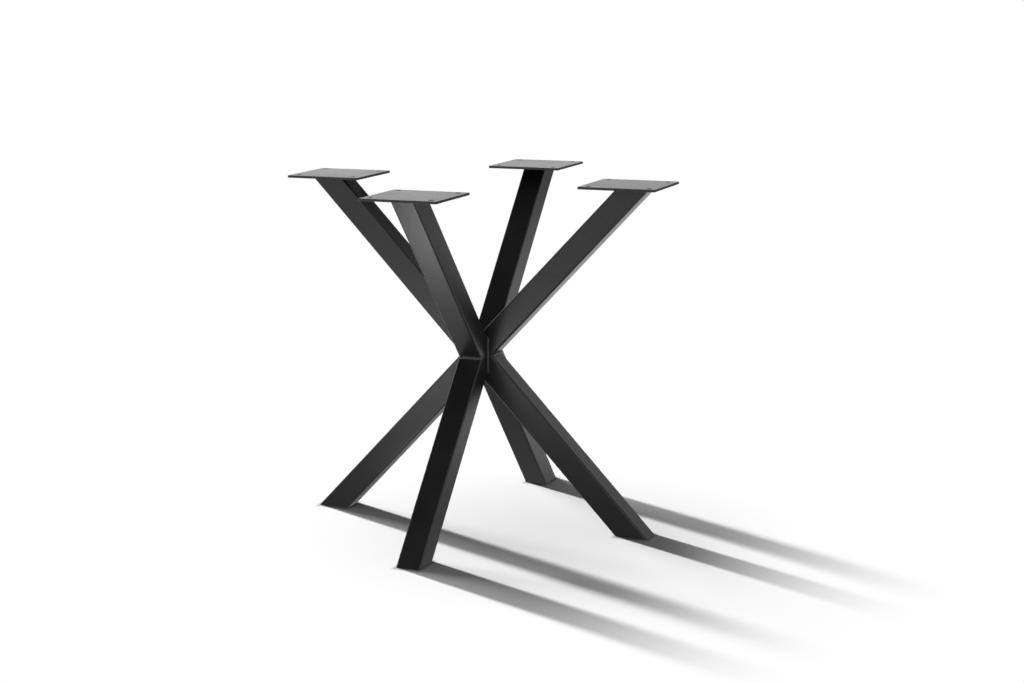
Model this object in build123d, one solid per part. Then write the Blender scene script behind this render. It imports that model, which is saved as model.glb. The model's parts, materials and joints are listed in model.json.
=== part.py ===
from build123d import *
from math import atan2, degrees, radians, sin, sqrt, tan
import os

# Spider table base, welded from square steel tube. Millimetres, +Z up.
# The origin is on the floor, midway between the feet. The left and right arms stand in the
# XZ plane and cross on the axis. The front and back arms are bent at the waist, where
# they butt against the two side faces of the crossed pair.

# Overall size
height = 720.0
span = 800.0

# Square tube, with the rounded long edges of a cold-formed section
tube_side = 50.0
tube_wall = 2.0
tube_corner = 4.0

# Reach of the tube centre lines, on the floor and again under the plates
cross_reach = 338.0
bent_reach = 345.0

# Square plates that the table top is screwed to
plate_side = 160.0
plate_thickness = 5.0
plate_corner = 2.0
plate_edge_break = 0.5
hole_spacing = 125.0
hole_diameter = 10.0

# Plates that close the tubes on the floor
foot_thickness = 3.0

# Fillet welds: the length of each leg, how far the face of a bead bulges, how thick it is at its
# toe, and how far it stops short of the tube's side
frame_weld = 4.0
notch_weld = 5.0
plate_weld = 3.0
weld_bulge = 0.6
weld_toe = 0.3
weld_end = 0.5

# The coped tube ends stop a little above the start of the other tube's rounded edge
cope_land = 1.0

# Worked out from the above
plate_underside = height - plate_thickness
waist = plate_underside / 2
plate_centre = (span - plate_side) / 2
half_side = tube_side / 2
bent_start = half_side
cross_angle = degrees(atan2(waist, cross_reach))
bent_angle = degrees(atan2(waist, bent_reach - bent_start))
beyond = 2 * height

# A flat across a rounded corner, touching it at its middle, takes this share of the corner's
# radius off each side
corner_cut = 2 - sqrt(2)

# Compass of the base: the heading of each arm about +Z, where 0 points along +X
headings = {"right": 0, "back": 90, "left": 180, "front": 270}
crossed_sides = ("right", "left")
bent_sides = ("front", "back")


def section_length(angle):
    """Length of the tube's level cut, where it stands on the floor."""
    return tube_side / sin(radians(angle))


def bar(angle, start=0.0, inset=0.0):
    """Endless square bar with rounded edges, whose centre line leaves the waist at an angle.

    It stands in the XZ plane. An inset makes the bar that fills the bore of the tube.
    """
    along = Vector(1, 0, 0).rotate(Axis.Y, -angle)
    across_tube = Plane(origin=(start, 0, waist), x_dir=(0, 1, 0), z_dir=along)
    side = tube_side - 2 * inset
    section = RectangleRounded(side, side, tube_corner - inset)
    return extrude(across_tube * section, beyond, both=True)


def level_slab(bottom, top):
    """Everything between two heights."""
    return Pos(0, 0, (bottom + top) / 2) * Box(beyond, beyond, top - bottom)


def tube(angle, bottom, top, start=0.0):
    """Hollow square tube on a slanted centre line, cut level at both ends."""
    hollow = bar(angle, start) - bar(angle, start, tube_wall)
    return hollow & level_slab(bottom, top)


def outside_of(start):
    """Everything further out along +X than a distance from the axis."""
    return Pos(start + beyond / 2, 0, 0) * Box(beyond, beyond, 2 * beyond)


def make_cross_tube():
    """The one tube of the crossed pair that runs through, from left plate to right foot."""
    return tube(-cross_angle, foot_thickness, plate_underside)


def cope():
    """All that lies behind the upper face of the cross tube, as a tool that copes a tube to it.

    Its edge is the tube's own rounded section, with a flat on each side to blunt the cut.
    """
    along = Vector(1, 0, 0).rotate(Axis.Y, cross_angle)
    across_tube = Plane(origin=(0, 0, waist), x_dir=(0, 1, 0), z_dir=along)
    section = RectangleRounded(tube_side, tube_side, tube_corner)
    flat = Rectangle(2 * tube_side, beyond, align=(Align.CENTER, Align.MAX))
    profile = section + Pos(0, half_side - tube_corner + cope_land) * flat
    return extrude(across_tube * profile, beyond, both=True)


def make_crossed_half(upper):
    """Half tube of the crossed pair, coped to sit on the face of the cross tube."""
    whole = tube(cross_angle, foot_thickness, plate_underside)
    tool = cope() if upper else half_turn_about_waist(cope())
    return whole - tool


def make_bent_half(upper):
    """Half tube of a bent arm: mitred at the waist, and cut upright to meet the crossed pair."""
    if upper:
        leg = tube(bent_angle, waist, plate_underside, bent_start)
    else:
        leg = tube(-bent_angle, foot_thickness, waist, bent_start)
    return leg & outside_of(bent_start)


def make_mounting_plate():
    """Square plate with a screw hole near each corner, centred over the end of its arm."""
    blank = Box(plate_side, plate_side, plate_thickness)
    blank = fillet(blank.edges().filter_by(Axis.Z), plate_corner)
    rims = blank.edges().group_by(Axis.Z)
    blank = chamfer(rims[0] + rims[-1], plate_edge_break)
    drill = Cylinder(hole_diameter / 2, 2 * plate_thickness)
    holes = GridLocations(hole_spacing, hole_spacing, 2, 2) * drill
    return Pos(plate_centre, 0, height - plate_thickness / 2) * (blank - holes)


def make_foot_plate(angle, start):
    """Plate that closes a slanted tube on the floor, flush with the tube all round."""
    return bar(-angle, start) & level_slab(0, foot_thickness)


def grown_outline(length, width, grow):
    """Outline at a distance round a tube's section, with its corners cut off flat."""
    outline = Rectangle(length + 2 * grow, width + 2 * grow)
    return chamfer(outline.vertices(), corner_cut * (tube_corner + grow))


def make_plate_weld(angle, start):
    """Fillet weld that runs round a tube under its mounting plate."""
    slope = tan(radians(angle))
    length = section_length(angle)

    def ring(level, grow):
        centre = start + (level - waist) / slope
        return Pos(centre, 0, level) * grown_outline(length, tube_side, grow)

    toe = ring(plate_underside - plate_weld, weld_toe)
    root = ring(plate_underside, plate_weld)
    return loft([toe, root], ruled=True) - bar(angle, start)


def make_frame_weld():
    """Fillet weld round the upright end of a bent arm, on the side face of the crossed pair."""
    rise = tan(radians(bent_angle))
    end_height = section_length(90 - bent_angle)

    def ring(out, grow):
        face = Plane(origin=(out, 0, waist), x_dir=(0, 1, 0), z_dir=(1, 0, 0))
        tall = end_height + 2 * (out - bent_start) * rise
        return face * grown_outline(tube_side, tall, grow)

    root = ring(bent_start, frame_weld)
    toe = ring(bent_start + frame_weld, weld_toe)
    bead = loft([root, toe], ruled=True)
    return bead - bar(bent_angle, bent_start) - bar(-bent_angle, bent_start)


def notch_bead(corner, first, second):
    """Weld along Y in the notch between two tube faces, with a face that bulges a little.

    The bead's section starts inside the tubes, so that it also closes over their rounded edges.
    """
    corner = Vector(*corner)
    first = Vector(*first).normalized()
    second = Vector(*second).normalized()
    opening = (first + second).normalized()
    root = corner - opening * (2 * tube_corner)
    toe_a = corner + first * notch_weld
    toe_b = corner + second * notch_weld
    crown = (toe_a + toe_b) * 0.5 + opening * weld_bulge
    outline = Polyline(toe_b, root, toe_a) + ThreePointArc(toe_a, crown, toe_b)
    return extrude(make_face(outline), half_side - weld_end, dir=(0, 1, 0), both=True)


def make_waist_weld():
    """Weld along the outer mitre of a bent arm."""
    up = Vector(1, 0, 0).rotate(Axis.Y, -bent_angle)
    down = Vector(1, 0, 0).rotate(Axis.Y, bent_angle)
    corner = (bent_start + section_length(bent_angle) / 2, 0, waist)
    return notch_bead(corner, up, down) - bar(bent_angle, bent_start) - bar(-bent_angle, bent_start)


def make_crossing_weld():
    """Welds in the two notches where the upper half tube sits on the cross tube."""
    up_right = Vector(1, 0, 0).rotate(Axis.Y, -cross_angle)
    down_right = Vector(1, 0, 0).rotate(Axis.Y, cross_angle)
    side_corner = (section_length(cross_angle) / 2, 0, waist)
    top_corner = (0, 0, waist + section_length(90 - cross_angle) / 2)
    beads = [
        notch_bead(side_corner, up_right, down_right),
        notch_bead(top_corner, up_right, -down_right),
    ]
    return [bead - bar(cross_angle) - bar(-cross_angle) for bead in beads]


def turned(shape, side):
    """An arm's piece, made pointing along +X, turned to its side of the base."""
    return Rot(0, 0, headings[side]) * shape


def half_turn_about_waist(shape):
    """The same piece on the opposite side of the waist, where the crossed pair repeats itself."""
    return Pos(0, 0, waist) * Rot(0, 180, 0) * Pos(0, 0, -waist) * shape


def build():
    """Every piece of the base by its name."""
    pieces = {
        "cross_tube": make_cross_tube(),
        "right_upper_tube": make_crossed_half(upper=True),
        "left_lower_tube": make_crossed_half(upper=False),
    }
    for side in bent_sides:
        pieces[f"{side}_upper_tube"] = turned(make_bent_half(upper=True), side)
        pieces[f"{side}_lower_tube"] = turned(make_bent_half(upper=False), side)
        pieces[f"{side}_waist_weld"] = turned(make_waist_weld(), side)
        pieces[f"{side}_frame_weld"] = turned(make_frame_weld(), side)

    for side in headings:
        crossed = side in crossed_sides
        angle = cross_angle if crossed else bent_angle
        start = 0.0 if crossed else bent_start
        pieces[f"{side}_mounting_plate"] = turned(make_mounting_plate(), side)
        pieces[f"{side}_foot_plate"] = turned(make_foot_plate(angle, start), side)
        pieces[f"{side}_plate_weld"] = turned(make_plate_weld(angle, start), side)

    right_weld, top_weld = make_crossing_weld()
    pieces["right_notch_weld"] = right_weld
    pieces["top_notch_weld"] = top_weld
    pieces["left_notch_weld"] = half_turn_about_waist(right_weld)
    pieces["bottom_notch_weld"] = half_turn_about_waist(top_weld)
    return pieces


def main():
    """Write one file for each piece."""
    os.makedirs("parts", exist_ok=True)
    for name, shape in build().items():
        shape.label = name
        export_step(shape, f"parts/{name}.step")
        print(f"{name}: {shape.volume / 1000:.2f} cm3")


main()
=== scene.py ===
"""Looks of a welded spider table base: powder-coated square tube, drilled plates and rippled welds.

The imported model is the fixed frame. Every piece is worked out from the frame's own sizes as a
surface of two parameters, and stands where the node that it replaces stands.
"""

import json
import logging
import math
from collections.abc import Callable
from dataclasses import dataclass
from enum import Enum
from functools import partial, reduce

import bpy
import numpy as np
from mathutils import Euler, Matrix, Vector


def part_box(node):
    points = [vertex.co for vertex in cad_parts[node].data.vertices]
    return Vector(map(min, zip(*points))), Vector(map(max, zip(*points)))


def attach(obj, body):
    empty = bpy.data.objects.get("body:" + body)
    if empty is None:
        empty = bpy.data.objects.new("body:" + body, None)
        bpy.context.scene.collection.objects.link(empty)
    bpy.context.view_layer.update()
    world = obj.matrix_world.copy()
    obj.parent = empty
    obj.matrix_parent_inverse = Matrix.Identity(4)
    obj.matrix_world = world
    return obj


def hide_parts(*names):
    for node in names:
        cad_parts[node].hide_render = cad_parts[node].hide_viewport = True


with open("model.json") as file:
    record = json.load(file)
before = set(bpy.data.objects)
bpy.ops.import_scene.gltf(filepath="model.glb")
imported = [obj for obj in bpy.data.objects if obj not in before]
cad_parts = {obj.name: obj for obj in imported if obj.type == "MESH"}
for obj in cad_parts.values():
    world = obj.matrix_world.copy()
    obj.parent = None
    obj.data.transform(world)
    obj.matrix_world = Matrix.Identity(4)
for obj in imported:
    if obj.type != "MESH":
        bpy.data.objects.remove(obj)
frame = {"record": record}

LOG = logging.getLogger("spider_base")
MM = 0.001
TINY = 1e-12
TURN = 2 * math.pi
BODY = "root"
OUTWARDS, ACROSS, UPWARDS = np.eye(3)
WHITE = (1, 1, 1, 1)
NOISE_DETAILS = (2.0, 1.0, 4.0)
NOISE_MIDDLE = 0.5
SPECKLE_SPAN = (0.72, 1.28)

Array = np.ndarray
Pair = tuple[float, float]
Triple = tuple[float, float, float]
Cut = Callable[[Array], Array]
Socket = bpy.types.NodeSocket
Tree = bpy.types.NodeTree


class Side(Enum):
    """The four arms, each with its heading about the upright axis in degrees from +X."""

    RIGHT = 0
    BACK = 90
    LEFT = 180
    FRONT = 270

    @property
    def label(self) -> str:
        """The arm's name as the nodes write it."""
        return self.name.lower()

    @property
    def crossed(self) -> bool:
        """Whether the arm belongs to the crossed pair, and not to the bent arms."""
        return self in (Side.RIGHT, Side.LEFT)

    def turned(self, vectors: Array) -> Array:
        """Turns vectors made for an arm that points along +X to this arm's heading.

        Args:
            vectors: Any array whose last axis is x, y, z.

        Returns:
            The array turned about the upright axis.
        """
        angle = math.radians(self.value)
        cos, sin = math.cos(angle), math.sin(angle)
        turn = np.array([[cos, -sin, 0], [sin, cos, 0], [0, 0, 1]])
        return vectors @ turn.T


class Half(Enum):
    """Which half of an arm a tube makes: its value is the sign of its rise."""

    UPPER = 1
    LOWER = -1


class Slot(Enum):
    """The record's material slots."""

    TUBE = "tube"
    PLATE = "plate"
    FOOT = "foot"
    WELD = "weld"


@dataclass(frozen=True)
class BaseSizes:
    """The base's own sizes in metres, read from the frame's nodes."""

    height: float
    plate_side: float
    plate_thickness: float
    plate_centre: float
    tube_side: float
    foot_thickness: float
    cross_reach: float
    bent_reach: float
    hole_spacing: float
    hole_radius: float
    tube_wall: float = 2 * MM
    tube_corner: float = 4 * MM
    cope_land: float = 1 * MM

    @classmethod
    def from_frame(cls) -> "BaseSizes":
        """Measures the nodes' boxes and the record's screw pattern.

        Returns:
            The sizes that every piece is worked out from.
        """
        plate_low, plate_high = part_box("right_mounting_plate")
        tube_low, tube_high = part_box("cross_tube")
        foot_low, foot_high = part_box("right_foot_plate")
        mounts = {mount["name"]: mount for mount in frame["record"]["mounts"]}
        holes = mounts["right_plate_holes"]["dims"]
        return cls(
            height=plate_high.z,
            plate_side=plate_high.y - plate_low.y,
            plate_thickness=plate_high.z - plate_low.z,
            plate_centre=(plate_high.x + plate_low.x) / 2,
            tube_side=tube_high.y - tube_low.y,
            foot_thickness=foot_high.z - foot_low.z,
            cross_reach=mounts["right_foot"]["pos_m"][0],
            bent_reach=mounts["back_foot"]["pos_m"][1],
            hole_spacing=holes["spacing_x_mm"] * MM,
            hole_radius=holes["hole_r_mm"] * MM,
        )

    @property
    def plate_underside(self) -> float:
        """Height at which the arms meet their plates."""
        return self.height - self.plate_thickness

    @property
    def waist(self) -> float:
        """Height at which the arms cross and bend."""
        return self.plate_underside / 2

    @property
    def half_side(self) -> float:
        """Half the tube's side."""
        return self.tube_side / 2

    def start(self, side: Side) -> float:
        """How far from the axis an arm's centre line meets the waist."""
        return 0.0 if side.crossed else self.half_side

    def angle(self, side: Side) -> float:
        """Angle of an arm above or below the level, in radians."""
        reach = self.cross_reach if side.crossed else self.bent_reach
        return math.atan2(self.waist, reach - self.start(side))

    def face_depth(self, across: Array) -> Array:
        """Distance from a tube's centre line to its face, which falls away at the rounded edges.

        The face is flat, and then a quarter circle: flat part + sqrt(corner^2 - beyond^2).

        Args:
            across: Distance along the face from its middle.

        Returns:
            The depth of the face at each of those places.
        """
        flat = self.half_side - self.tube_corner
        beyond = np.clip(np.abs(across) - flat, 0, self.tube_corner)
        return flat + np.sqrt(self.tube_corner**2 - beyond**2)


@dataclass
class Patch:
    """A grid of points on a surface, with the surface's normal at each.

    The points are in rows and columns. A patch that closes on itself repeats its first row or
    column at its end.
    """

    points: Array
    normals: Array

    @classmethod
    def smooth(cls, points: Array, ring: bool = False, loop: bool = False) -> "Patch":
        """Makes a patch whose normals come from its own grid.

        Each normal is the cross product of the grid's two central differences.

        Args:
            points: The grid of points, in rows and columns.
            ring: Whether the rows close, so that each row's last point is its first.
            loop: Whether the columns close, so that the last row is the first.

        Returns:
            The patch.
        """
        along_row = slope_of(points, 1, ring)
        along_column = slope_of(points, 0, loop)
        normals = np.cross(along_row, along_column)
        lengths = np.linalg.norm(normals, axis=-1, keepdims=True)
        return cls(points, normals / np.maximum(lengths, TINY))

    @classmethod
    def facing(cls, points: Array, normal: Array) -> "Patch":
        """Makes a flat patch with one normal."""
        return cls(points, np.broadcast_to(normal, points.shape))

    def outward(self, rough: Array) -> "Patch":
        """The same patch, with its normals turned round if they point against rough ones."""
        agree = (self.normals * rough).sum()
        return self if agree > 0 else Patch(self.points, -self.normals)


def slope_of(points: Array, axis: int, closed: bool) -> Array:
    """Central differences of a grid, wrapped round where the grid closes.

    Args:
        points: The grid of points.
        axis: 0 down the columns, 1 along the rows.
        closed: Whether the grid's last line along that axis is its first.

    Returns:
        The differences at every point.
    """
    slopes = np.gradient(points, axis=axis)
    if closed:
        lines, rows = np.moveaxis(slopes, axis, 0), np.moveaxis(points, axis, 0)
        lines[0] = lines[-1] = (rows[1] - rows[-2]) / 2
    return slopes


def with_heights(pairs: Array, heights: Array | float) -> Array:
    """Makes points or normals of a grid of level pairs.

    Args:
        pairs: The grid of x and y.
        heights: The z of each row, or of the whole grid.

    Returns:
        The grid of x, y, z.
    """
    heights = np.broadcast_to(np.reshape(heights, (-1, 1, 1)), (*pairs.shape[:2], 1))
    return np.concatenate([pairs, heights], axis=2)


def outline_normals(loop: Array, axis: Array) -> Array:
    """Outward unit normals of a flat closed outline: its tangent turned by a quarter.

    Args:
        loop: The outline's points, with the first repeated at the end.
        axis: The direction that the outline's plane faces.

    Returns:
        One unit vector in that plane for each point.
    """
    normal = np.cross(slope_of(loop, 0, True), axis)
    normal /= np.linalg.norm(normal, axis=1, keepdims=True)
    return normal * np.sign(((loop - loop[:-1].mean(axis=0)) * normal).sum())


def rolled_edge(
    bottom: float, top: float, lower: float, upper: float, steps: int
) -> tuple[Array, Array]:
    """The profile of a plate's edge, which rolls over by a quarter circle at each face.

    Args:
        bottom: Height of the lower face.
        top: Height of the upper face.
        lower: Radius of the roll at the lower face.
        upper: Radius of the roll at the upper face.
        steps: Steps in each roll.

    Returns:
        The heights from the top down, and how far the edge stands back at each of them.
    """
    turn = np.linspace(0, TURN / 4, steps + 1)
    drop, back = 1 - np.cos(turn), 1 - np.sin(turn)
    heights = np.concatenate([top - upper * drop, bottom + lower * drop[::-1]])
    return heights, np.concatenate([upper * back, lower * back[::-1]])


def distance_along(line: Array) -> Array:
    """How far along a line each of its points lies."""
    steps = np.linalg.norm(np.diff(line, axis=0), axis=1)
    return np.concatenate([[0], np.cumsum(steps)])


class Piece:
    """Gathers patches and flat caps, made for an arm along +X, into one mesh object."""

    weld_distance = 1e-6
    least_area = 1e-14

    def __init__(self, node: str, side: Side, kind: str = "skin") -> None:
        """Starts an empty piece, named after the node that it stands for, on its arm."""
        self.node = node
        self.side = side
        self.name = f"{node}_{kind}"
        self.corners: list[Array] = []
        self.corner_normals: list[Array] = []
        self.face_sizes: list[int] = []

    def add(self, patch: Patch) -> "Piece":
        """Adds a patch as quads that face along its normals.

        Args:
            patch: The patch to add.

        Returns:
            The piece, so that calls can be chained.
        """
        corners, normals = (
            np.stack([grid[:-1, :-1], grid[:-1, 1:], grid[1:, 1:], grid[1:, :-1]], axis=2)
            for grid in (patch.points, patch.normals)
        )
        corners, normals = corners.reshape(-1, 4, 3), normals.reshape(-1, 4, 3)
        facing = np.cross(corners[:, 2] - corners[:, 0], corners[:, 3] - corners[:, 1])
        inward = np.einsum("ij,ij->i", facing, normals.sum(axis=1)) < 0
        corners[inward] = corners[inward, ::-1]
        normals[inward] = normals[inward, ::-1]
        real = np.linalg.norm(facing, axis=1) > self.least_area
        self.corners.append(corners[real].reshape(-1, 3))
        self.corner_normals.append(normals[real].reshape(-1, 3))
        self.face_sizes += [4] * int(real.sum())
        return self

    def cap(self, outline: Array, normal: Array) -> "Piece":
        """Closes a flat end with one face.

        Args:
            outline: The end's points in order, without a repeated last point.
            normal: The way the end faces.

        Returns:
            The piece, so that calls can be chained.
        """
        following = np.roll(outline, -1, axis=0)
        area = np.cross(outline, following).sum(axis=0)
        self.corners.append(outline if area @ normal > 0 else outline[::-1])
        self.corner_normals.append(np.broadcast_to(normal, outline.shape))
        self.face_sizes.append(len(outline))
        return self

    def build(self, finish: "PowderCoat", slot: Slot) -> None:
        """Makes the object, dresses it and puts it in place of its node.

        Args:
            finish: The finish that it wears.
            slot: The record's material slot. It is not used.
        """
        corners = self.side.turned(np.concatenate(self.corners))
        normals = self.side.turned(np.concatenate(self.corner_normals))
        keys = np.round(corners / self.weld_distance).astype(np.int64)
        _, first, index = np.unique(keys, axis=0, return_index=True, return_inverse=True)
        index = index.reshape(-1)
        sizes = np.array(self.face_sizes)
        starts = np.concatenate([[0], np.cumsum(sizes)[:-1]])

        mesh = bpy.data.meshes.new(self.name)
        mesh.vertices.add(len(first))
        mesh.vertices.foreach_set("co", corners[first].astype(np.float32).ravel())
        mesh.loops.add(len(index))
        mesh.loops.foreach_set("vertex_index", index.astype(np.int32))
        mesh.polygons.add(len(sizes))
        mesh.polygons.foreach_set("loop_start", starts.astype(np.int32))
        mesh.polygons.foreach_set("use_smooth", np.ones(len(sizes), bool))
        mesh.update(calc_edges=True)
        mesh.normals_split_custom_set(normals.tolist())
        mesh.materials.append(finish.material())

        thing = new_object(self.name, mesh)
        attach(thing, BODY)
        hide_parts(self.node)
        LOG.info("%s: %d faces", self.name, len(sizes))


def new_object(name: str, data: bpy.types.ID) -> bpy.types.Object:
    """Makes an object and links it to the scene."""
    thing = bpy.data.objects.new(name, data)
    bpy.context.scene.collection.objects.link(thing)
    return thing


@dataclass(frozen=True)
class Fade:
    """A smooth change from one level to another over a span. A level may be a socket."""

    span: Pair
    levels: tuple[float | Socket, float | Socket] = (0.0, 1.0)


class Graph:
    """Builds a node tree, in which an input takes a value or another node's socket alike."""

    def __init__(self, tree: Tree) -> None:
        """Starts building in a tree."""
        self.tree = tree

    @classmethod
    def fresh(cls, owner: bpy.types.World | bpy.types.Material) -> "Graph":
        """Starts with the emptied tree of a world or a material."""
        owner.use_nodes = True
        owner.node_tree.nodes.clear()
        return cls(owner.node_tree)

    def feed(self, node: bpy.types.Node, inputs: dict) -> None:
        """Fills a node's inputs.

        Args:
            node: The node.
            inputs: For each input, by name or number, its value or the socket that it follows.
        """
        for slot, value in inputs.items():
            if isinstance(value, Socket):
                self.tree.links.new(value, node.inputs[slot])
            else:
                node.inputs[slot].default_value = value

    def node(self, kind: str, inputs: dict | None = None, **settings) -> bpy.types.Node:
        """Adds a node.

        Args:
            kind: The node's type name.
            inputs: What its inputs take.
            **settings: Properties of the node by name.

        Returns:
            The node.
        """
        node = self.tree.nodes.new(kind)
        for name, value in settings.items():
            setattr(node, name, value)
        self.feed(node, inputs or {})
        return node

    def result(self, kind: str, inputs: dict | None = None, **settings) -> Socket:
        """Adds a node and gives the first output that it offers."""
        node = self.node(kind, inputs, **settings)
        return next(socket for socket in node.outputs if socket.enabled)

    def math(self, operation: str, *values: Socket | float) -> Socket:
        """The result of an operation on numbers."""
        return self.result("ShaderNodeMath", dict(enumerate(values)), operation=operation)

    def vector(self, operation: str, *values: Socket | tuple) -> Socket:
        """The result of an operation on vectors."""
        return self.result("ShaderNodeVectorMath", dict(enumerate(values)), operation=operation)

    def fade(self, value: Socket, fade: Fade) -> Socket:
        """The level that a fade has at a value."""
        inputs = dict(enumerate((value, *fade.span, *fade.levels)))
        return self.result("ShaderNodeMapRange", inputs, interpolation_type="SMOOTHSTEP")

    def mixed(self, share: Socket, first: Socket, second: Socket) -> Socket:
        """A shader that passes from the first to the second as the share rises from 0 to 1."""
        return self.result("ShaderNodeMixShader", {0: share, 1: first, 2: second})

    def glow(self, strength: Socket | float = 1.0, color: Socket | tuple = WHITE) -> Socket:
        """A shader that gives off light."""
        return self.result("ShaderNodeEmission", {"Color": color, "Strength": strength})

    def place(self, kind: str = "Object") -> Socket:
        """The place that is shaded, in the object's own coordinates or as a direction."""
        return self.node("ShaderNodeTexCoord").outputs[kind]

    def axis(self, place: Socket, label: str) -> Socket:
        """One coordinate of a place."""
        return self.node("ShaderNodeSeparateXYZ", {"Vector": place}).outputs[label]

    def seen_directly(self, path: bpy.types.Node) -> Socket:
        """1 for what the camera sees, also through glass, and 0 for light on its way."""
        return self.math("MAXIMUM", path.outputs["Is Camera Ray"], path.outputs["Is Transmission Ray"])


def powder_grain_group() -> Tree:
    """The surface of baked powder, shared by every finish and built once.

    A fine grain stands on the slow swell that the powder leaves as it flows, and speckles the
    colour, and a cloud changes the colour and the gloss a little from place to place.

    Returns:
        The group, with its inputs and outputs named.
    """
    name = "powder_grain"
    if name in bpy.data.node_groups:
        return bpy.data.node_groups[name]
    group = bpy.data.node_groups.new(name, "ShaderNodeTree")
    scales = ("Grain Scale", "Swell Scale", "Cloud Scale")
    for direction, kind, labels in (
        ("INPUT", "Vector", ("Vector",)),
        ("INPUT", "Float", (*scales, "Swell Share", "Roughness", "Gloss Change")),
        ("INPUT", "Color", ("Dark", "Light")),
        ("OUTPUT", "Color", ("Color",)),
        ("OUTPUT", "Float", ("Roughness", "Height")),
    ):
        for label in labels:
            group.interface.new_socket(label, in_out=direction, socket_type=f"NodeSocket{kind}")

    graph = Graph(group)
    given = graph.node("NodeGroupInput").outputs
    where = given["Vector"]
    grain, swell, cloud = (
        graph.result("ShaderNodeTexNoise", {"Vector": where, "Scale": given[scale], "Detail": detail})
        for scale, detail in zip(scales, NOISE_DETAILS)
    )
    height = graph.result(
        "ShaderNodeMix", {"Factor": given["Swell Share"], "A": grain, "B": swell}, data_type="FLOAT"
    )
    low, high = SPECKLE_SPAN
    speckle = graph.result(
        "ShaderNodeMapRange", {"Value": graph.math("ADD", cloud, grain), "From Min": low, "From Max": high}
    )
    color = graph.result(
        "ShaderNodeMix", {"Factor": speckle, "A": given["Dark"], "B": given["Light"]}, data_type="RGBA"
    )
    centred = graph.math("SUBTRACT", cloud, NOISE_MIDDLE)
    gloss = graph.math("MULTIPLY_ADD", centred, given["Gloss Change"], given["Roughness"])
    graph.node("NodeGroupOutput", {"Color": color, "Roughness": gloss, "Height": height})
    return group


@dataclass(frozen=True)
class PowderCoat:
    """Satin black powder coat on one kind of steel piece."""

    name: str
    dark: Triple = (0.0036, 0.0037, 0.0041)
    light: Triple = (0.0090, 0.0094, 0.0103)
    roughness: float = 0.30
    gloss_change: float = 0.10
    grain_scale: float = 1200.0
    swell_scale: float = 260.0
    swell_share: float = 0.6
    cloud_scale: float = 9.0
    bump_strength: float = 0.9
    bump_depth: float = 0.16 * MM
    refraction: float = 1.5

    def material(self) -> bpy.types.Material:
        """The material of this finish, made on first use.

        Returns:
            The material.
        """
        if self.name in bpy.data.materials:
            return bpy.data.materials[self.name]
        material = bpy.data.materials.new(self.name)
        material.use_nodes = True
        graph = Graph(material.node_tree)
        powder = graph.node("ShaderNodeGroup", node_tree=powder_grain_group())
        graph.feed(powder, {
            "Vector": graph.place(),
            "Grain Scale": self.grain_scale,
            "Swell Scale": self.swell_scale,
            "Cloud Scale": self.cloud_scale,
            "Swell Share": self.swell_share,
            "Roughness": self.roughness,
            "Gloss Change": self.gloss_change,
            "Dark": (*self.dark, 1),
            "Light": (*self.light, 1),
        })
        height = powder.outputs["Height"]
        relief = {"Strength": self.bump_strength, "Distance": self.bump_depth, "Height": height}
        graph.feed(material.node_tree.nodes["Principled BSDF"], {
            "Base Color": powder.outputs["Color"],
            "Roughness": powder.outputs["Roughness"],
            "IOR": self.refraction,
            "Normal": graph.result("ShaderNodeBump", relief),
        })
        return material


@dataclass(frozen=True)
class TubeSection:
    """The rounded square section of the tube, as a closed outline.

    The outline runs through four quarter circles joined by straight flats.
    """

    side: float
    corner: float
    corner_steps: int = 10
    flat_steps: int = 4

    def outline(self) -> Array:
        """The section's points, across the tube and through its depth, with the first repeated.

        Returns:
            An array of pairs.
        """
        reach = self.side / 2 - self.corner
        steps = np.linspace(0, TURN / 4, self.corner_steps + 1)
        share = np.linspace(0, 1, self.flat_steps + 1)[1:-1, None]
        runs = []
        for quarter in range(4):
            turn = quarter * TURN / 4
            centre, following = (
                reach * np.sign([math.cos(turn + eighths * TURN / 8), math.sin(turn + eighths * TURN / 8)])
                for eighths in (1, 3)
            )
            arc = centre + self.corner * np.stack([np.cos(turn + steps), np.sin(turn + steps)], axis=1)
            runs += [arc, arc[-1] + (following - centre) * share]
        outline = np.concatenate(runs)
        return np.vstack([outline, outline[:1]])

    def directions(self) -> Array:
        """The outward normal at each point of the outline.

        Returns:
            An array of pairs.
        """
        outline = self.outline()
        reach = self.side / 2 - self.corner
        from_core = outline - np.clip(outline, -reach, reach)
        return from_core / np.linalg.norm(from_core, axis=1, keepdims=True)


@dataclass(frozen=True)
class Line:
    """The centre line of a tube in its arm's own upright plane, before the arm is turned."""

    sizes: BaseSizes
    angle: float
    start: float

    @property
    def along(self) -> Array:
        """Unit vector outwards along the tube."""
        return np.array([math.cos(self.angle), 0, math.sin(self.angle)])

    @property
    def depth(self) -> Array:
        """Unit vector square to the tube in the arm's plane, up from it."""
        return np.array([-math.sin(self.angle), 0, math.cos(self.angle)])

    @property
    def origin(self) -> Array:
        """Where the centre line meets the waist."""
        return np.array([self.start, 0, self.sizes.waist])

    def place(self, section: Array, distance: Array) -> Array:
        """Points of the tube's surface: origin + across + depth + distance along the tube.

        Args:
            section: Pairs of across and depth.
            distance: Distance along the tube for each pair.

        Returns:
            The points.
        """
        flat = section[..., :1] * ACROSS + section[..., 1:] * self.depth
        return self.origin + flat + distance[..., None] * self.along

    def to_level(self, section: Array, level: float) -> Array:
        """Distance along the tube at which each line of its surface reaches a height."""
        return (level - self.sizes.waist - section[..., 1] * self.depth[2]) / self.along[2]

    def to_upright(self, section: Array, out: float) -> Array:
        """Distance along the tube at which each line of its surface reaches an upright plane."""
        return (out - self.start - section[..., 1] * self.depth[0]) / self.along[0]


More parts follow.
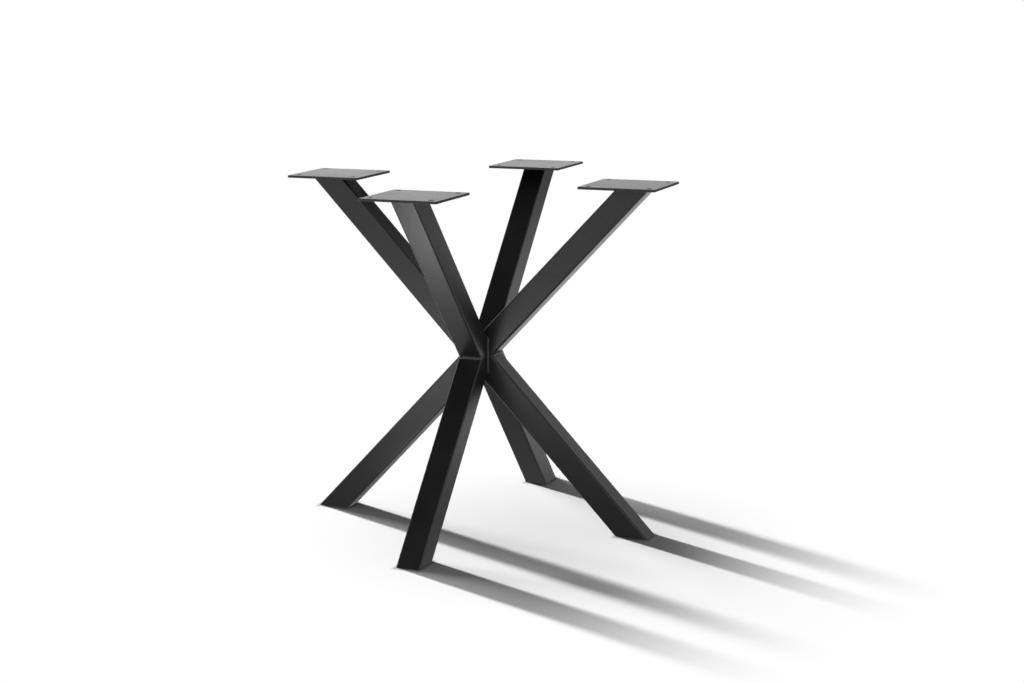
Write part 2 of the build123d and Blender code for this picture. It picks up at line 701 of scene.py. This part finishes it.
@dataclass
class Tube:
    """One hollow tube of the base, between two cuts."""

    sizes: BaseSizes
    finish: PowderCoat
    lengthwise: int = 16

    def build_between(self, line: Line, start_cut: Cut, end_cut: Cut, node: str, side: Side) -> None:
        """Builds a tube's outer wall, its inner wall and the two rims between them.

        A wall is a grid: the section's outline in one direction, and even steps from one cut to
        the other in the other direction.

        Args:
            line: The tube's centre line.
            start_cut: Function from section points to distances along the tube.
            end_cut: The same at the far end.
            node: The node that the tube stands for.
            side: The arm whose heading the tube takes.
        """
        sizes = self.sizes
        piece = Piece(node, side)
        walls = []
        for inset, facing in ((0.0, 1), (sizes.tube_wall, -1)):
            section = TubeSection(sizes.tube_side - 2 * inset, sizes.tube_corner - inset)
            outline = section.outline()
            begin, end = start_cut(outline), end_cut(outline)
            share = np.linspace(0, 1, self.lengthwise + 1)[:, None]
            distance = begin + (end - begin) * share
            points = line.place(np.broadcast_to(outline, (*distance.shape, 2)), distance)
            pairs = section.directions()
            normal = facing * (pairs[:, :1] * ACROSS + pairs[:, 1:] * line.depth)
            piece.add(Patch.facing(points, normal))
            walls.append(points)
        outer, inner = walls
        outwards = line.along * np.sign((outer[-1] - outer[0]).sum(axis=0) @ line.along)
        for row, normal in ((0, -outwards), (-1, outwards)):
            piece.add(Patch.facing(np.stack([outer[row], inner[row]]), normal))
        piece.build(self.finish, Slot.TUBE)

    def cope(self, line: Line, half: Half) -> Cut:
        """The cut that seats a half tube on the face of the cross tube.

        The half tube ends where its distance from the cross tube's centre line is the depth of
        that tube's face, which falls away at the rounded edges as far as a small land.

        Args:
            line: The half tube's centre line.
            half: Whether it is the upper or the lower half.

        Returns:
            Function from section points to distances along the tube.
        """
        sizes = self.sizes
        face = np.array([math.sin(line.angle), 0, math.cos(line.angle)]) * half.value
        lowest = sizes.half_side - sizes.tube_corner + sizes.cope_land

        def cut(section: Array) -> Array:
            """Distance along the tube to the coped end."""
            depth = np.maximum(sizes.face_depth(section[..., 0]), lowest)
            return (depth - section[..., 1] * (line.depth @ face)) / (line.along @ face)

        return cut

    def build_crossed(self) -> None:
        """Builds the tube that runs through and the two half tubes that sit on it."""
        sizes = self.sizes
        angle = sizes.angle(Side.RIGHT)
        through, rising = Line(sizes, -angle, 0.0), Line(sizes, angle, 0.0)
        top, bottom = sizes.plate_underside, sizes.foot_thickness
        for node, line, near_cut, far in (
            ("cross_tube", through, partial(through.to_level, level=top), bottom),
            ("right_upper_tube", rising, self.cope(rising, Half.UPPER), top),
            ("left_lower_tube", rising, self.cope(rising, Half.LOWER), bottom),
        ):
            self.build_between(line, near_cut, partial(line.to_level, level=far), node, Side.RIGHT)

    def build_bent(self, side: Side, half: Half) -> None:
        """Builds one half tube of a bent arm, mitred at the waist and cut upright beside it.

        Args:
            side: The arm.
            half: Its upper or its lower half.
        """
        sizes = self.sizes
        start = sizes.start(side)
        line = Line(sizes, half.value * sizes.angle(side), start)
        far = sizes.plate_underside if half is Half.UPPER else sizes.foot_thickness

        def near_cut(section: Array) -> Array:
            """The further out of the mitre and the upright cut."""
            return np.maximum(line.to_level(section, sizes.waist), line.to_upright(section, start))

        node = f"{side.label}_{half.name.lower()}_tube"
        self.build_between(line, near_cut, partial(line.to_level, level=far), node, side)


@dataclass
class FootPlate:
    """The plate that closes a tube on the floor, flush with it and with a broken edge."""

    sizes: BaseSizes
    finish: PowderCoat
    lower_roll: float = 0.6 * MM
    upper_roll: float = 0.2 * MM
    roll_steps: int = 5

    def build(self, side: Side) -> None:
        """Builds one foot plate.

        The wall is a grid: the tube's outline in one direction, and in the other a profile of
        height and inset that rolls over at the bottom and at the top.

        Args:
            side: The arm whose foot it closes.
        """
        sizes = self.sizes
        line = Line(sizes, -sizes.angle(side), sizes.start(side))
        outline = TubeSection(sizes.tube_side, sizes.tube_corner).outline()
        rolls = (self.lower_roll, self.upper_roll)
        levels, insets = rolled_edge(0, sizes.foot_thickness, *rolls, self.roll_steps)
        rows = np.stack([line.place(outline, line.to_level(outline, level)) for level in levels[::-1]])
        out = outline_normals(rows[0], UPWARDS)
        rows = rows - insets[::-1, None, None] * out
        piece = Piece(f"{side.label}_foot_plate", side).add(Patch.smooth(rows, ring=True).outward(out))
        piece.cap(rows[0, :-1], -UPWARDS).cap(rows[-1, :-1], UPWARDS)
        piece.build(self.finish, Slot.FOOT)


@dataclass
class MountingPlate:
    """A square plate with a screw hole near each corner and rolled edges."""

    sizes: BaseSizes
    finish: PowderCoat
    corner: float = 2 * MM
    edge_roll: float = 0.6 * MM
    hole_roll: float = 0.4 * MM
    roll_steps: int = 5
    rays: int = 72
    rings: int = 6
    tolerance: float = 1e-9

    def quarter_boundary(self) -> tuple[Array, Array]:
        """The outline of one quarter of the flat face, seen from its hole.

        Rays leave the hole's centre at even angles, and more of them where the plate's rounded
        corner is. Each ends on the quarter's square boundary or on the rounded corner.

        Returns:
            The boundary's points, and for each the outline's outward normal, which is zero along
            the two inner seams.
        """
        reach = self.sizes.plate_side / 2 - self.edge_roll
        radius = self.corner - self.edge_roll
        hole = np.full(2, self.sizes.hole_spacing / 2)
        centre = np.full(2, reach - radius)
        arc_turn = np.linspace(0, TURN / 4, 2 * self.roll_steps + 1)
        arc = centre + radius * np.stack([np.cos(arc_turn), np.sin(arc_turn)], axis=1)
        marks = np.vstack([arc, [[reach, 0], [0, reach], [0, 0]]]) - hole
        even = np.arange(self.rays) * TURN / self.rays
        angles = np.concatenate([even, np.arctan2(marks[:, 1], marks[:, 0])])
        angles = np.unique(np.round(np.mod(angles, TURN), 9))
        ray = np.stack([np.cos(angles), np.sin(angles)], axis=1)
        with np.errstate(divide="ignore", invalid="ignore"):
            outer = np.where(ray > self.tolerance, (reach - hole) / ray, np.inf)
            inner = np.where(ray < -self.tolerance, -hole / ray, np.inf)
        distance = np.minimum(outer, inner).min(axis=1)
        from_centre = hole - centre
        along = ray @ from_centre
        root = along**2 - from_centre @ from_centre + radius**2
        to_arc = -along + np.sqrt(np.maximum(root, 0))
        end = hole + ray * distance[:, None]
        rounded = (end > centre - self.tolerance).all(axis=1)
        end = hole + ray * np.where(rounded, to_arc, distance)[:, None]
        straight = (end > reach - self.tolerance).astype(float)
        normal = np.where(rounded[:, None], (end - centre) / radius, straight)
        closed = [*range(len(end)), 0]
        return end[closed], normal[closed]

    def build(self, side: Side) -> None:
        """Builds one plate from four mirrored quarters.

        Each quarter is a hole wall, two flat faces that run from the hole to the quarter's
        outline, and a rolled edge along the plate's own outline.

        Args:
            side: The arm that carries it.
        """
        sizes = self.sizes
        end, normal = self.quarter_boundary()
        hole = np.full(2, sizes.hole_spacing / 2)
        away = end - hole
        distance = np.linalg.norm(away, axis=1, keepdims=True)
        unit = away / distance
        rim = sizes.hole_radius + self.hole_roll
        share = np.linspace(0, 1, self.rings + 1)[:, None, None]
        flat = hole + unit * (rim + (distance - rim) * share)

        faces = (sizes.plate_underside, sizes.height)
        levels, back = rolled_edge(*faces, self.hole_roll, self.hole_roll, self.roll_steps)
        wall = with_heights(hole + unit * (sizes.hole_radius + back)[:, None, None], levels)
        inwards = with_heights(np.broadcast_to(-unit, (*wall.shape[:2], 2)), 0.0)

        levels, back = rolled_edge(*faces, self.edge_roll, self.edge_roll, self.roll_steps)
        border = with_heights(end + normal * (self.edge_roll - back)[:, None, None], levels)
        lean = 1 - back / self.edge_roll
        tilt = np.sign(levels - np.mean(faces)) * np.sqrt(1 - lean**2)
        border_normal = with_heights(normal * lean[:, None, None], tilt)
        on_edge = np.flatnonzero(np.abs(normal).sum(axis=1) > 0)

        patches = [
            Patch.facing(with_heights(flat, sizes.height), UPWARDS),
            Patch.facing(with_heights(flat, sizes.plate_underside), -UPWARDS),
            Patch.smooth(wall, ring=True).outward(inwards),
            *self.edge_patches(border, border_normal, on_edge),
        ]
        piece = Piece(f"{side.label}_mounting_plate", side)
        offset = sizes.plate_centre * OUTWARDS
        for mirror in ((1, 1, 1), (-1, 1, 1), (-1, -1, 1), (1, -1, 1)):
            for patch in patches:
                piece.add(Patch(patch.points * mirror + offset, patch.normals * mirror))
        piece.build(self.finish, Slot.PLATE)

    @staticmethod
    def edge_patches(border: Array, normals: Array, on_edge: Array) -> list[Patch]:
        """The rolled edge, in unbroken stretches of the quarter's boundary.

        Args:
            border: The grid of the rolled edge over the whole boundary.
            normals: Its normals.
            on_edge: Which of its columns lie on the plate's own outline.

        Returns:
            One patch for each stretch.
        """
        breaks = np.flatnonzero(np.diff(on_edge) > 1) + 1
        runs = [run for run in np.split(on_edge, breaks) if len(run) > 1]
        return [Patch(border[:, run], normals[:, run]) for run in runs]


@dataclass
class WeldBead:
    """Fillet welds, each a rippled surface between two toes.

    Across the bead the surface is a quadratic curve from one toe to the other that bulges away
    from the root. Along it, a scalloped ripple stands up at every step of the torch, and the
    width wanders slowly. The wander adds up waves, each with its turns along the bead, its share,
    and how much of the bead's phase it takes.
    """

    sizes: BaseSizes
    finish: PowderCoat
    ripple_pitch: float = 1.9 * MM
    ripple_height: float = 0.22 * MM
    samples_per_ripple: int = 8
    across_steps: int = 10
    bulge: float = 0.30
    wander: float = 0.07
    sink: float = 0.08 * MM
    plate_leg: float = 2.9 * MM
    frame_leg: float = 3.9 * MM
    notch_leg: float = 4.9 * MM
    end_gap: float = 0.6 * MM
    waves: tuple[Triple, ...] = ((3, 1.0, 1.0), (7, 0.6, 2.3))
    end_power: int = 14
    end_width: float = 0.02
    ripple_lag: float = 0.45
    core_depth: float = 0.4
    first_phase: float = 35.0
    notch_phase: float = 1.0

    def surface(
        self, root: Array, first: Array, second: Array, leg: float, closed: bool, phase: float
    ) -> Patch:
        """The bead's closed section carried along its root line.

        Args:
            root: Points along the line where the two welded faces meet.
            first: Unit vectors along the first face, away from the root.
            second: Unit vectors along the second face, away from the root.
            leg: Length of the fillet's legs.
            closed: Whether the bead runs right round and meets itself.
            phase: Where the slow wander of the width starts, in radians.

        Returns:
            The patch.
        """
        travelled = distance_along(root)
        count = max(1, round(travelled[-1] / self.ripple_pitch))
        place = travelled / travelled[-1]
        wave = sum(share * np.sin(TURN * turns * place + lag * phase) for turns, share, lag in self.waves)
        width = leg * (1 + self.wander * wave / sum(share for _, share, _ in self.waves))
        if not closed:
            width = width * np.sqrt(1 - (2 * place - 1) ** self.end_power) + self.end_width * leg
        outward = first + second
        outward /= np.linalg.norm(outward, axis=1, keepdims=True)
        toe_a = root + first * width[:, None] - second * self.sink
        toe_b = root + second * width[:, None] - first * self.sink
        middle = (toe_a + toe_b) / 2
        throat = np.linalg.norm(middle - root, axis=1, keepdims=True)
        crown = middle + outward * throat * (2 * self.bulge)

        v = np.linspace(0, 1, self.across_steps + 1)[:, None, None]
        face = (1 - v) ** 2 * toe_a + 2 * v * (1 - v) * crown + v**2 * toe_b
        arch = (4 * v * (1 - v))[..., 0]
        scallop = np.mod(place * count + self.ripple_lag * arch, 1.0)
        ripple = self.ripple_height * np.sqrt(arch) * (1 - (1 - scallop) ** 2) * (width / leg)
        face = face + outward * ripple[..., None]
        hidden = root - outward * self.sink
        ring = np.concatenate([face, hidden[None], face[:1]])
        core = root + outward * throat * self.core_depth
        return Patch.smooth(ring, ring=closed, loop=True).outward(ring - core)

    def build_ring(
        self, node: str, side: Side, loop: Array, first: Array, second: Array, leg: float
    ) -> None:
        """Builds a weld that runs right round a tube, with points close enough for its ripples.

        Args:
            node: The node that it stands for.
            side: The arm.
            loop: The closed root line, with its first point repeated.
            first: Unit vectors along the first face.
            second: Unit vectors along the second face.
            leg: Length of the fillet's legs.
        """
        travelled = distance_along(loop)
        count = round(travelled[-1] / self.ripple_pitch) * self.samples_per_ripple
        place = np.linspace(0, travelled[-1], count + 1)
        root, first, second = (
            np.stack([np.interp(place, travelled, table[:, axis]) for axis in range(3)], axis=1)
            for table in (loop, first, second)
        )
        first, second = (table / np.linalg.norm(table, axis=1, keepdims=True) for table in (first, second))
        patch = self.surface(root, first, second, leg, True, math.radians(side.value + self.first_phase))
        Piece(node, side, "bead").add(patch).build(self.finish, Slot.WELD)

    def build_plate_weld(self, side: Side) -> None:
        """Builds the weld round a tube under its plate: down the tube and out along the plate."""
        sizes = self.sizes
        line = Line(sizes, sizes.angle(side), sizes.start(side))
        outline = TubeSection(sizes.tube_side, sizes.tube_corner).outline()
        loop = line.place(outline, line.to_level(outline, sizes.plate_underside))
        down = np.broadcast_to(-line.along, loop.shape)
        out = outline_normals(loop, UPWARDS)
        self.build_ring(f"{side.label}_plate_weld", side, loop, down, out, self.plate_leg)

    def build_frame_weld(self, side: Side) -> None:
        """Builds the weld round a bent arm's upright end, on the side face of the crossed pair."""
        sizes = self.sizes
        angle = sizes.angle(side)
        section = TubeSection(sizes.tube_side, sizes.tube_corner).outline()
        tall = sizes.half_side / math.cos(angle)
        stretch = section[:, 1] / sizes.half_side
        away = np.full(len(section), sizes.half_side)
        loop = np.stack([away, section[:, 0], sizes.waist + tall * stretch], axis=1)
        lean = angle * np.clip(stretch / (1 - sizes.tube_corner / sizes.half_side), -1, 1) ** 3
        along = np.stack([np.cos(lean), np.zeros(len(lean)), np.sin(lean)], axis=1)
        out = outline_normals(loop, OUTWARDS)
        self.build_ring(f"{side.label}_frame_weld", side, loop, along, out, self.frame_leg)

    def build_notch(
        self, node: str, side: Side, base: Array, opening: Array, first: Array, second: Array
    ) -> None:
        """Builds a straight weld in the notch between two tubes.

        Its root line lies at the depth of the tubes' faces, so it bends inwards over their
        rounded edges at both ends.

        Args:
            node: The node that it stands for.
            side: The arm whose heading it takes.
            base: The point on the tubes' centre lines that the notch opens from.
            opening: Vector from that point that reaches the notch for a unit of face depth.
            first: Unit vector along the first tube's face.
            second: Unit vector along the second tube's face.
        """
        sizes = self.sizes
        half_length = sizes.half_side - self.end_gap
        count = round(2 * half_length / self.ripple_pitch) * self.samples_per_ripple
        across = np.linspace(-half_length, half_length, count + 1)
        depth = sizes.face_depth(across)
        root = base + depth[:, None] * opening + across[:, None] * ACROSS
        faces = (np.broadcast_to(face, root.shape) for face in (first, second))
        patch = self.surface(root, *faces, self.notch_leg, False, self.notch_phase)
        piece = Piece(node, side, "bead").add(patch)
        piece.cap(patch.points[:-1, 0], -ACROSS).cap(patch.points[:-1, -1], ACROSS)
        piece.build(self.finish, Slot.WELD)

    def build_notches(self) -> None:
        """Builds the welds in the four notches of the crossed pair and in the two bent waists."""
        sizes = self.sizes
        for side in (Side.RIGHT, Side.FRONT, Side.BACK):
            angle, start = sizes.angle(side), sizes.start(side)
            rising, falling = Line(sizes, angle, start), Line(sizes, -angle, start)
            base, rise, fall = rising.origin, rising.along, falling.along
            wide, tall = OUTWARDS / math.sin(angle), UPWARDS / math.cos(angle)
            if side.crossed:
                self.build_notch("right_notch_weld", side, base, wide, rise, fall)
                self.build_notch("left_notch_weld", side, base, -wide, -fall, -rise)
                self.build_notch("top_notch_weld", side, base, tall, rise, -fall)
                self.build_notch("bottom_notch_weld", side, base, -tall, fall, -rise)
            else:
                self.build_notch(f"{side.label}_waist_weld", side, base, wide, rise, fall)


@dataclass(frozen=True)
class Pool:
    """A round patch of floor where light or shade is painted, and the level at its centre, which fades out
    to its rim.
    """

    centre: Pair
    radius: float
    level: float

    def shown(self, graph: Graph, place: Socket, centre: float, rim: float) -> Socket:
        """The level at a place, for given levels at the centre and at the rim."""
        away = graph.vector("DISTANCE", place, (*self.centre, 0))
        return graph.fade(away, Fade((0, self.radius), (centre, rim)))


@dataclass(frozen=True)
class Softbox:
    """A round light far away, which is there in gloss alone, by its heading, height and width."""

    heading: float
    height: float
    core: float
    rim: float
    level: float

    @property
    def direction(self) -> Triple:
        """The unit vector towards its middle."""
        height = math.radians(self.height)
        return (*level_vector(self.heading, math.cos(height)), math.sin(height))

    def shown(self, graph: Graph, place: Socket, overhead: float) -> Socket:
        """Its level in a direction, which fades with the cosine of the angle from its middle."""
        band = (math.cos(math.radians(self.rim)), math.cos(math.radians(self.core)))
        toward = graph.vector("DOT_PRODUCT", place, self.direction)
        return graph.fade(toward, Fade(band, (overhead, self.level)))


def level_vector(heading: float, length: float) -> Pair:
    """The x and y of a level vector by its heading in degrees."""
    turn = math.radians(heading)
    return (length * math.cos(turn), length * math.sin(turn))


class Lit(Enum):
    """What a lamp lights, by how the floor counts in its list."""

    FLOOR = "INCLUDE"
    BASE = "EXCLUDE"


@dataclass(frozen=True)
class Sun:
    """A soft lamp far away, given by the level at which it lights a level surface."""

    name: str
    lit: Lit
    level: float
    height: float
    spread: float
    heading: float = 153.6

    def build(self, floor: bpy.types.Object) -> None:
        """Builds the lamp, which lights the floor alone or the base alone.

        A low lamp needs much power to light the floor, which the base must not receive. No lamp
        shows in gloss, where the wall and the floor are seen instead.

        Args:
            floor: The studio's floor.
        """
        data = bpy.data.lights.new(self.name, "SUN")
        data.angle = math.radians(self.spread)
        data.energy = self.level * math.pi / math.sin(math.radians(self.height))
        lamp = new_object(self.name, data)
        lamp.rotation_euler = (0, math.radians(90 - self.height), math.radians(self.heading))
        lamp.visible_glossy = False
        listed = bpy.data.collections.new(f"lit_by_{self.name}")
        listed.objects.link(floor)
        lamp.light_linking.receiver_collection = listed
        listed.collection_objects[0].light_linking.link_state = self.lit.value


@dataclass
class Studio:
    """Pale floor, soft light and the camera, none of them part of the base."""

    sizes: BaseSizes
    azimuth: float = 21.86
    elevation: float = 10.846
    roll: float = -0.24
    distance: float = 4.1065
    target: Triple = (0.0596, 0.0239, 0.3805)
    lens: float = 69.61
    sensor: float = 36.0
    floor_reach: float = 80.0
    floor_drop: float = 0.1 * MM
    floor_color: float = 0.62
    # Painted shade: the floor's tone in gloss and matt light, darker at the front than behind.
    painted_front_shade: Fade = Fade((0.1, 1.1), (0.24, 0.56))
    # Painted soft shade on the floor under the base.
    painted_floor_shade: Pool = Pool((0.20, -0.06), 0.62, 0.20)
    floor_edge: Fade = Fade((1.0, 1.6))
    shadow_heading: float = 162.0
    shadow_fade: Fade = Fade((0.38, 1.04))
    # Painted contact shadow round each foot: its fade, its stretch across the view and its shift.
    contact: Fade = Fade((-0.004, 0.016), (0.45, 1.0))
    contact_stretch: Triple = (1.5, 1.0, 0.0)
    contact_shift: Triple = (0.001, -0.003, 0.0)
    sky_level: float = 0.12
    overhead: float = 0.03
    wall_radius: float = 2.3
    wall_heights: Pair = (1.36, 2.0)
    wall_lowest: float = 77.0
    wall_fade: float = 0.14
    wall_foot: Fade = Fade((0, 0.58), (0.38, 1))
    wall_dimmest: float = 55.0
    wall_dimming: Pair = (0.6, 0.95)
    wall_dim_fall: Fade = Fade((-0.1, 0.5), (2.3, 0.2))
    wall_dim_rise: Fade = Fade((0.5, 0.85), (0.2, 0.7))
    wall_steps: int = 96
    suns: tuple[Sun, ...] = (
        Sun("low_key", Lit.FLOOR, 1.12, 1.6, 2.7),
        Sun("soft_key", Lit.FLOOR, 0.34, 16.0, 18.0),
        Sun("top_light", Lit.BASE, 0.60, 90.0, 140.0),
    )
    softboxes: tuple[Softbox, ...] = (
        Softbox(20, 34, 14, 34, 0.9),
        Softbox(145, 46, 10, 28, 0.85),
        Softbox(52, 62, 10, 30, 0.6),
    )
    # Patches of painted light on the floor, seen in gloss alone.
    painted_light_pools: tuple[Pool, ...] = (
        Pool((-0.20, -0.38), 0.20, 6.4),
        Pool((-0.20, -0.20), 0.30, 0.4),
        Pool((-0.74, -1.46), 0.78, 4.2),
        Pool((1.75, -0.72), 0.70, 1.8),
    )

    @property
    def sky_light(self) -> float:
        """The level of the sky that gives the floor its share."""
        return self.sky_level / self.floor_color

    @property
    def floor_light(self) -> float:
        """The level of light on the open floor."""
        return self.sky_light + sum(sun.level for sun in self.suns if sun.lit is Lit.FLOOR)

    def build_camera(self) -> None:
        """Sets the camera at the photograph's viewing angle."""
        azimuth, elevation = math.radians(self.azimuth), math.radians(self.elevation)
        back = Vector((*level_vector(self.azimuth - 90, math.cos(elevation)), math.sin(elevation)))
        data = bpy.data.cameras.new("camera")
        data.lens = self.lens
        data.sensor_width = self.sensor
        camera = new_object("camera", data)
        level = Euler((math.pi / 2 - elevation, 0, azimuth)).to_matrix()
        camera.location = Vector(self.target) + back * self.distance
        camera.rotation_euler = (level @ Matrix.Rotation(math.radians(self.roll), 3, "Z")).to_euler()
        bpy.context.scene.camera = camera

    def build_world(self) -> None:
        """White for the camera, and an even sky, which gloss sees dark but for the softboxes."""
        world = bpy.data.worlds.new("studio")
        bpy.context.scene.world = world
        graph = Graph.fresh(world)
        place = graph.place("Generated")
        boxes = [box.shown(graph, place, self.overhead) for box in self.softboxes]
        ceiling = reduce(partial(graph.math, "MAXIMUM"), boxes)
        white, sky, dark = (
            graph.result("ShaderNodeBackground", {"Color": WHITE, "Strength": strength})
            for strength in (1.0, self.sky_light, ceiling)
        )
        path = graph.node("ShaderNodeLightPath")
        on_its_way = graph.mixed(path.outputs["Is Glossy Ray"], sky, dark)
        shown = graph.mixed(graph.seen_directly(path), on_its_way, white)
        graph.node("ShaderNodeOutputWorld", {"Surface": shown})

    def wall_material(self) -> bpy.types.Material:
        """The wall's light. It rises from the floor up, and ends at a slanted plane.

        The plane is lowest at one heading. Round another, the wall is brightest at its foot and
        dim above it.

        Returns:
            The material.
        """
        material = bpy.data.materials.new("white_wall")
        graph = Graph.fresh(material)
        place = graph.place()
        height = graph.axis(place, "Z")
        low, high = self.wall_heights
        top = (high + low) / 2
        slant = level_vector(self.wall_lowest, (high - low) / 2 / self.wall_radius)
        slanted = graph.vector("DOT_PRODUCT", place, (*slant, 1))
        edge = graph.fade(slanted, Fade((top - self.wall_fade, top), (1, self.overhead)))
        lowest = graph.math("MINIMUM", graph.fade(height, self.wall_foot), edge)
        fall, rise = (graph.fade(height, fade) for fade in (self.wall_dim_fall, self.wall_dim_rise))
        dimmest = level_vector(self.wall_dimmest, 1 / self.wall_radius)
        toward = graph.vector("DOT_PRODUCT", place, (*dimmest, 0))
        dim = graph.fade(toward, Fade(self.wall_dimming, (1, graph.math("MAXIMUM", fall, rise))))
        glow = graph.glow(graph.math("MULTIPLY", lowest, dim))
        graph.node("ShaderNodeOutputMaterial", {"Surface": glow})
        return material

    def build_wall(self) -> None:
        """A low white wall all round, cut off at a slant, which is there in gloss alone.

        It is a cylinder, open at the top and the bottom: the radius times the cosine and the sine
        of the angle, at two heights.
        """
        angles = np.linspace(0, TURN, self.wall_steps, endpoint=False)
        ring = self.wall_radius * np.stack([np.cos(angles), np.sin(angles)], axis=-1)
        levels = (0, max(self.wall_heights))
        points = np.concatenate([np.pad(ring, ((0, 0), (0, 1)), constant_values=z) for z in levels])
        near = np.arange(self.wall_steps)
        far = np.roll(near, -1)
        faces = np.stack([near, far, far + self.wall_steps, near + self.wall_steps], axis=-1)
        mesh = bpy.data.meshes.new("white_wall")
        mesh.from_pydata(points.tolist(), [], faces.tolist())
        mesh.materials.append(self.wall_material())
        wall = new_object("white_wall", mesh)
        wall.visible_camera = False
        wall.visible_diffuse = False
        wall.visible_transmission = False
        wall.visible_shadow = False

    def whiteness(self, graph: Graph, place: Socket) -> Socket:
        """How far the floor has passed into plain white: down the light, and all round."""
        along = graph.vector("DOT_PRODUCT", place, (*level_vector(self.shadow_heading, -1), 0))
        downlight = graph.fade(along, self.shadow_fade)
        around = graph.fade(graph.vector("LENGTH", place), self.floor_edge)
        return graph.math("MAXIMUM", downlight, around)

    def painted_contact_shade(self, graph: Graph, place: Socket) -> Socket:
        """The painted contact shadow round the feet: the share of its colour that the floor keeps there.

        It falls towards the outline of each foot. The distance from an outline is the length of
        max(|place - foot's centre| - half the foot's size, 0), stretched across the view.

        Args:
            graph: The floor's nodes.
            place: The place on the floor.

        Returns:
            The share.
        """
        sizes = self.sizes
        shares = []
        for side in Side:
            reach = sizes.cross_reach if side.crossed else sizes.bent_reach
            length = sizes.half_side / math.sin(sizes.angle(side))
            centre = side.turned(np.array([reach, 0, 0])) + self.contact_shift
            half = np.abs(side.turned(np.array([length, sizes.half_side, 0])))
            away = graph.vector("ABSOLUTE", graph.vector("SUBTRACT", place, tuple(centre)))
            beyond = graph.vector("MAXIMUM", graph.vector("SUBTRACT", away, tuple(half)), (0, 0, 0))
            stretched = graph.vector("MULTIPLY", beyond, self.contact_stretch)
            shares.append(graph.fade(graph.vector("LENGTH", stretched), self.contact))
        return reduce(partial(graph.math, "MINIMUM"), shares)

    def floor_material(self) -> bpy.types.Material:
        """Pale and matt under the base, and plain white further out.

        For gloss and for matt surfaces its tone is a painted shade, darker under the base and more so at
        the front.
        A painted soft shade lies under the base, and a painted contact shadow round each foot.
        Gloss sees it as a painted glow at its lit level, without shadows, and with patches of painted
        light on it.
        From below it is clear.

        Returns:
            The material.
        """
        material = bpy.data.materials.new("pale_floor")
        graph = Graph.fresh(material)
        place = graph.place()
        path = graph.node("ShaderNodeLightPath")
        in_gloss = path.outputs["Is Glossy Ray"]
        # Painted shade: in gloss and matt light the floor's tone rises from the front to the back.
        depth = graph.fade(graph.axis(place, "Y"), self.painted_front_shade)
        tones = {"Factor": graph.seen_directly(path), "A": depth, "B": self.floor_color}
        tone = graph.result("ShaderNodeMix", tones, data_type="FLOAT")
        # Painted soft shade under the base, seen by every ray.
        shade = self.painted_floor_shade.shown(graph, place, 1 - self.painted_floor_shade.level, 1)
        color = graph.math("MULTIPLY", tone, shade)
        # Painted contact shadow round the feet, in the matt colour alone.
        shaded = graph.math("MULTIPLY", color, self.painted_contact_shade(graph, place))
        matt = graph.result("ShaderNodeBsdfDiffuse", {"Color": shaded})
        # In gloss the floor is a painted glow at its lit level, without the shadows.
        under = graph.mixed(in_gloss, matt, graph.glow(self.floor_light, color))
        whole = graph.mixed(self.whiteness(graph, place), under, graph.glow())
        # Patches of painted light, added in gloss alone.
        painted_light_pools = [pool.shown(graph, place, pool.level, 0) for pool in self.painted_light_pools]
        painted_pool_light = graph.glow(graph.math("MULTIPLY", reduce(partial(graph.math, "ADD"), painted_light_pools), in_gloss))
        above = graph.result("ShaderNodeAddShader", {0: whole, 1: painted_pool_light})
        backfacing = graph.node("ShaderNodeNewGeometry").outputs["Backfacing"]
        either = graph.mixed(backfacing, above, graph.result("ShaderNodeBsdfTransparent"))
        graph.node("ShaderNodeOutputMaterial", {"Surface": either})
        return material

    def build_floor(self) -> bpy.types.Object:
        """A wide level square, just under the feet.

        Returns:
            The floor.
        """
        reach = self.floor_reach
        ends = ((-reach, -reach), (reach, -reach), (reach, reach), (-reach, reach))
        mesh = bpy.data.meshes.new("floor")
        mesh.from_pydata([(x, y, -self.floor_drop) for x, y in ends], [], [(0, 1, 2, 3)])
        mesh.materials.append(self.floor_material())
        floor = new_object("floor", mesh)
        return floor

    def build(self) -> None:
        """Builds the whole studio."""
        self.build_camera()
        self.build_world()
        self.build_wall()
        floor = self.build_floor()
        for sun in self.suns:
            sun.build(floor)
        bpy.context.scene.view_settings.view_transform = "Standard"
        LOG.info("studio: camera, lamps and floor")


@dataclass
class SpiderBase:
    """The whole base, built sub-assembly by sub-assembly."""

    sizes: BaseSizes

    def build(self) -> None:
        """Builds every piece in order."""
        tubes = Tube(self.sizes, PowderCoat("tube_coat"))
        tubes.build_crossed()
        for side in (Side.FRONT, Side.BACK):
            for half in Half:
                tubes.build_bent(side, half)
        plates = MountingPlate(self.sizes, PowderCoat("plate_coat", roughness=0.24, bump_strength=0.3))
        feet = FootPlate(self.sizes, PowderCoat("foot_coat"))
        welds = WeldBead(self.sizes, PowderCoat("weld_coat"))
        for side in Side:
            plates.build(side)
            feet.build(side)
            welds.build_plate_weld(side)
        for side in (Side.FRONT, Side.BACK):
            welds.build_frame_weld(side)
        welds.build_notches()


def main() -> None:
    """Builds the base and its studio."""
    logging.basicConfig(level=logging.INFO, format="%(message)s")
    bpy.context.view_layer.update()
    sizes = BaseSizes.from_frame()
    SpiderBase(sizes).build()
    Studio(sizes).build()


if __name__ == "__main__":
    main()
